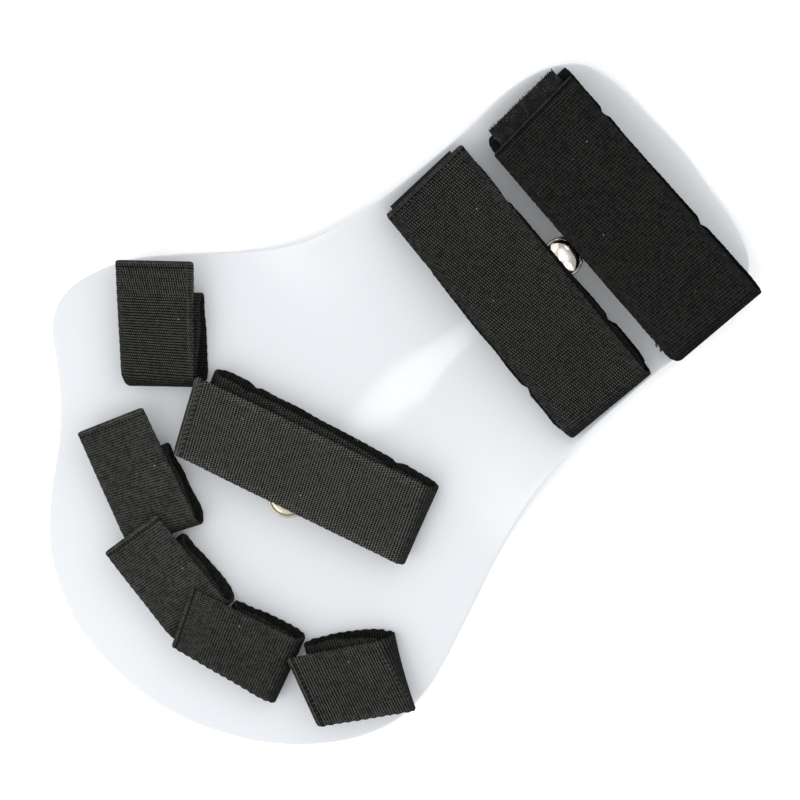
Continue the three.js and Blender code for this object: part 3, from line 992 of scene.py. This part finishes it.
def webbingFinish(loop):
    weave = weaves[loop["weave"]]
    half = kinds[loop["kind"]]["width"] * 1000 / 2
    finish = Finish(loop["name"] + "_webbing", Specular_IOR_Level=thread["gloss"])
    uv = finish.node("ShaderNodeUVMap", {"uv_map": "webbing"})
    u = finish.node("ShaderNodeSeparateXYZ", None, {0: uv}, 0) * 1000
    w = finish.node("ShaderNodeSeparateXYZ", None, {0: uv}, 1) * 1000
    sway = finish.noise(uv, thread["swayPace"], 1) - 0.5
    rib = u / weave["rib"] + sway * thread["ribSway"]
    row = rib.math("FLOOR", rib)
    column = w / weave["bead"] + row * thread["brick"]
    twill = w / weave["bead"] + rib * weave["shift"] + sway * thread["beadSway"]
    ribs = rib.wave()
    beads = twill.wave()
    crossed = (rib - twill).wave()
    rest, beadPart = 1 - weave["ribPart"], thread["beadPart"]
    plain = ribs * weave["ribPart"] + beads * (rest * beadPart) + crossed * (rest * (1 - beadPart))
    if loop["zone"]:
        fine = (w / thread["zonePitch"] + rib * 0.2).wave()
        fine = fine * 0.4 + crossed * 0.25 + ribs * 0.15 + 0.1
        zone = 1 - u.step(loop["zone"] + thread["zoneFrom"], loop["zone"] + thread["zoneTo"])
        plain = plain * (1 - zone) + fine * zone
    start, blur = half - weave["selvage"], thread["edgeBlur"]
    selvage = w.size().step(start - blur, start + blur)
    cords = (w / thread["edgePitch"] + rib * 0.5).wave() * 0.2
    edge = ribs * weave["edgeRib"] + cords + thread["edgeBase"] - weave["edgeRib"] * 0.4
    height = plain * (1 - selvage) + edge * selvage
    cell = finish.node("ShaderNodeCombineXYZ", None, {0: row, 1: column.math("FLOOR", column)})
    uneven = finish.node("ShaderNodeTexWhiteNoise", {"noise_dimensions": "2D"}, {"Vector": cell})
    cloud = finish.noise(uv, thread["cloudPace"], 3, 0.6)
    hem, contrast = loop["hem"] * 1000, loop["contrast"]
    seam = (u - hem * thread["seam"]).size()
    drawn = 1 - (1 - seam.step(thread["seamFrom"], thread["seamTo"])) * thread["seamDepth"]
    # A painted highlight along the hem's raised free end
    hemHighlight = 1 - u.step(hem * thread["hemHighlightFrom"], hem * thread["hemHighlightTo"])
    clear = height.step(thread["dark"], thread["light"])
    sharp = clear * contrast + (1 - contrast) * thread["even"] + hemHighlight * loop["hemHighlight"]
    # Painted shade: the colour darkens the lower layers and the start of the outer fold,
    # and the end of the inner fold gets a little painted light back.
    path = loop["path"]
    topEnd, foldEnd, innerEnd = (
        (path["length"] - path[key]) * 1000 for key in ("topFrom", "upperFrom", "lowerFrom")
    )
    paintedShadeDepth = thread["paintedShadeWide"] if loop["kind"] == "wide" else thread["paintedShadeNarrow"]
    turned = u.step(topEnd + 1, topEnd + 4) * loop["turned"]
    under = u.step(topEnd - 1, mix(topEnd, foldEnd, thread["paintedShadeEnd"])) * paintedShadeDepth
    inner = u.step(innerEnd - thread["innerEnd"], innerEnd) * thread["innerLight"]
    paintedShadeFactor = (1 - turned) * (1 - under) + inner
    # The weave's tone, with the painted shade of the lower layers and the fold multiplied in
    tone = sharp * (0.55 + uneven * 0.8) * (0.7 + cloud * 0.6) * drawn * paintedShadeFactor
    low, high = (tuple(part * loop["tone"] for part in thread[key]) for key in ("low", "high"))
    colour = finish.blend(tone, low, high)
    lint = finish.noise(uv, thread["lintPace"], 0).step(*thread["lint"])
    colour = finish.blend(lint * thread["lintShare"], colour, thread["lintColour"])
    fuzz = finish.noise(uv, thread["fuzzPace"], 2, 0.7)
    return finish.set(
        Base_Color=colour,
        Roughness=thread["roughHigh"] - height * thread["roughFall"],
        Normal=finish.bump(height + fuzz * thread["fuzz"], thread["relief"]),
    )


def threadFinish():
    finish = Finish("stitch_thread", Roughness=0.7, Specular_IOR_Level=0.3)
    ply = finish.noise(finish.place(), stitch["plyPace"], 2, 0.6)
    colour = finish.blend(ply, stitch["low"], stitch["high"])
    return finish.set(Base_Color=colour, Normal=finish.bump(ply, stitch["relief"]))


def tapeFinish(name, low, high):
    finish = Finish(name, Specular_IOR_Level=0.3)
    place = finish.place()
    grit = finish.noise(place, tape["gritPace"], 3, 0.65)
    patches = finish.noise(place, tape["patchPace"], 2)
    light = grit.step(*tape["grit"]) * patches.step(*tape["patches"]) * 1.5
    return finish.set(
        Base_Color=finish.blend(light, low, high),
        Roughness=0.9 - grit * 0.2,
        Normal=finish.bump(grit, tape["relief"]),
    )


def boardFinish():
    finish = Finish("board_plastic", IOR=1.5, Coat_Roughness=0.05)
    place = finish.place()
    cloud = finish.noise(place, board["cloudPace"], 3)
    haze = finish.noise(place, board["hazePace"], 4, 0.6)
    colour = finish.blend(cloud, board["low"], board["high"])
    combed = finish.node(
        "ShaderNodeMapping", None,
        {
            "Vector": place,
            "Rotation": (0, 0, board["scratchTurn"]),
            "Scale": board["scratchPace"],
        },
    )
    scratches = finish.noise(combed, 1).step(0.62, 0.7) * board["scratchRoughness"]
    rough = board["roughness"] + haze * board["hazeRoughness"] + scratches
    grain = finish.noise(place, board["grainPace"], 2)
    waves = finish.noise(place, board["wavePace"], 1)
    # The patch in the middle, where hands have rubbed it
    x, y = board["rubbedPlace"]
    spot = finish.node(
        "ShaderNodeMapping", {"vector_type": "TEXTURE"},
        {
            "Vector": place,
            "Location": (tipX + x, midY + y, board["thickness"]),
            "Scale": (*board["rubbedSize"], 1),
        },
    )
    away = finish.node("ShaderNodeVectorMath", {"operation": "LENGTH"}, {0: spot}, 1)
    rubbed = 1 - (away + haze * 0.5).step(0.75, 1.6)
    return finish.set(
        Base_Color=colour,
        Roughness=rough,
        Coat_Weight=rubbed * 0.9,
        Normal=finish.bump(grain * 0.02 + waves, board["relief"], board["reliefShare"]),
    )


def rivetFinish(row):
    finish = Finish(row["name"], Metallic=1.0)
    place = finish.place()
    cloud = finish.noise(place, metal["cloudPace"], 3)
    tarnish = finish.noise(place, metal["tarnishPace"], 1).step(*metal["tarnish"])
    bright = tarnish * metal["tarnishShare"] + cloud * (1 - metal["tarnishShare"])
    colour = finish.blend(bright, row["low"], row["high"])
    fine = finish.noise(place, metal["finePace"], 2)
    dents = finish.noise(place, metal["dentPace"], 1, 0.4)
    return finish.set(
        Base_Color=colour,
        Roughness=cloud * 0.08 + fine.step(0.6, 0.75) * 0.1 + row["roughness"],
        Normal=finish.bump(dents + fine * 0.001, metal["relief"], row["dents"]),
    )


bright = rivetFinish(nickel)
worn = rivetFinish(wornNickel)
cutters = bmesh.new()
for row in domes:
    seat = rivetSeat(row["x"], row["y"])
    raised = boardHeight(row["x"], midY + dome["radius"])
    finish = worn if row["worn"] else bright
    addPiece(row["name"], rivetMesh(dome, raised, seat), finish, [row["name"]])
    tailCutter(cutters, dome, seat)
for loop in loops:
    size = kinds[loop["kind"]]["length"] * loop["length"]
    turn = math.radians(loop["turn"])
    for number, share in enumerate(loop["rivets"], 1):
        x = loop["x"] + share * size * math.cos(turn)
        y = loop["y"] + share * size * math.sin(turn)
        name = loop["name"] + "_rivet" + (f"_{number}" if len(loop["rivets"]) > 1 else "")
        raised = webbing["thickness"] + webbing["gap"]
        seat = rivetSeat(x, y)
        addPiece(name, rivetMesh(loopRivet, raised, seat), bright, [name])
        tailCutter(cutters, loopRivet, seat)
print("rivets made")

cutter = addObject("tail_cutters", cutters)
boardPiece = addPiece(
    "splint_board", boardMesh(), boardFinish(), ["board"], board["sharp"]
)
sunk = boardPiece.modifiers.new("tails", "BOOLEAN")
sunk.operation = "DIFFERENCE"
sunk.solver = "EXACT"
sunk.object = cutter
graph = bpy.context.evaluated_depsgraph_get()
boardPiece.data = bpy.data.meshes.new_from_object(boardPiece.evaluated_get(graph))
boardPiece.modifiers.clear()
boardPiece.data.set_sharp_from_angle(angle=math.radians(board["sharp"]))
bpy.data.objects.remove(cutter)
print("board made")

sewn = threadFinish()
backed = tapeFinish("hook_tape", tape["low"], tape["high"])
wired = tapeFinish("hook_wire", hooks["low"], hooks["high"])
for loop in loops:
    name = loop["name"]
    loop["path"] = loopPath(loop)
    slot = "wide_webbing" if loop["kind"] == "wide" else "webbing"
    addPiece(name + "_webbing", loopMesh(loop), webbingFinish(loop), [name], 50)
    if name in stitchRows:
        addPiece(name + "_stitches", stitchMesh(loop, stitchRows[name]), sewn)
    if name in tapes:
        addPiece(name + "_tape", tapeMesh(loop, tapes[name]), backed)
        if tapes[name]["rough"]:
            addPiece(name + "_hooks", hooksMesh(loop, tapes[name]), wired)
            addPiece(name + "_frays", fraysMesh(loop), sewn)
    print(name, "made")

# Stage
stage = {
    "floor": (0.95, 0.95, 0.95),
    "sky": (0.97, 0.985, 1.0),
    "skyLow": 1.0,  # strength near the horizon and overhead
    "skyHigh": 1.42,
    "skyFrom": 0.5,  # heights between which it changes, as shares of straight up
    "skyTo": 0.9,
    "floorSize": 12,
    "floorDrop": 0.0003,
    "floorShade": 0.99,
    "cameraHeight": 3.0,
    "frameWidth": 0.304,  # what the picture takes in
    "turn": 40,  # the forearm points this far up from the picture's right, in degrees
    "fromTips": 0.14898,  # the picture's middle
    "fromMidline": -0.00384,
}
floorMesh = bmesh.new()
bmesh.ops.create_grid(
    floorMesh, x_segments=8, y_segments=8, size=stage["floorSize"],
    matrix=Matrix.Translation((0, 0, -stage["floorDrop"])),
)
floorFinish = Finish("floor_paper", Roughness=0.9)
paper = floorFinish.noise(floorFinish.place(), 3, 2)
darker = tuple(stage["floorShade"] * part for part in stage["floor"])
shade = floorFinish.blend(paper, stage["floor"], darker)
floor = addObject("floor", floorMesh)
floor.data.materials.append(floorFinish.set(Base_Color=shade))

turn = math.radians(stage["turn"])
right = Vector((math.cos(turn), -math.sin(turn), 0))
up = Vector((math.sin(turn), math.cos(turn), 0))
target = Vector((tipX + stage["fromTips"], midY + stage["fromMidline"], 0))

world = bpy.data.worlds.new("studio")
bpy.context.scene.world = world
world.use_nodes = True
sky = world.node_tree
backdrop = sky.nodes["Background"]
backdrop.inputs["Color"].default_value = (*stage["sky"], 1)
split = sky.nodes.new("ShaderNodeSeparateXYZ")
sky.links.new(sky.nodes.new("ShaderNodeTexCoord").outputs["Generated"], split.inputs[0])
overhead = Wire(sky, split.outputs["Z"]).step(stage["skyFrom"], stage["skyTo"])
strength = overhead * (stage["skyHigh"] - stage["skyLow"]) + stage["skyLow"]
plug(sky, backdrop.inputs["Strength"], strength)

# Places from the picture's middle in metres, radiance in W per m2 and steradian
lights = [
    {"name": "key", "right": -1.05, "up": -0.75, "height": 1.5, "side": 1.3, "radiance": 2.5},
    {"name": "fill", "right": 1.05, "up": 0.75, "height": 1.5, "side": 1.3, "radiance": 0.4},
    {"name": "sheen", "right": 0.0114, "up": 0.0167, "height": 3.0, "side": 0.3, "radiance": 3.5},
]
for row in lights:
    lamp = bpy.data.lights.new(row["name"], "AREA")
    lamp.shape = "SQUARE"
    lamp.size = row["side"]
    lamp.energy = row["radiance"] * row["side"] ** 2 * math.pi
    light = bpy.data.objects.new(row["name"], lamp)
    light.location = target + right * row["right"] + up * row["up"]
    light.location.z += row["height"]
    light.rotation_mode = "QUATERNION"
    light.rotation_quaternion = (light.location - target).to_track_quat("Z", "Y")
    light.visible_camera = False
    bpy.context.scene.collection.objects.link(light)

lens = bpy.data.cameras.new("camera")
lens.sensor_width = 36
lens.lens = lens.sensor_width * stage["cameraHeight"] / stage["frameWidth"]
lens.clip_end = 100
camera = bpy.data.objects.new("camera", lens)
camera.matrix_world = Matrix.Translation(target + Vector((0, 0, stage["cameraHeight"]))) @ Matrix(
    (right, up, Vector((0, 0, 1)))
).transposed().to_4x4()
bpy.context.scene.collection.objects.link(camera)
bpy.context.scene.camera = camera
bpy.context.scene.view_settings.view_transform = "Standard"
print("stage set")
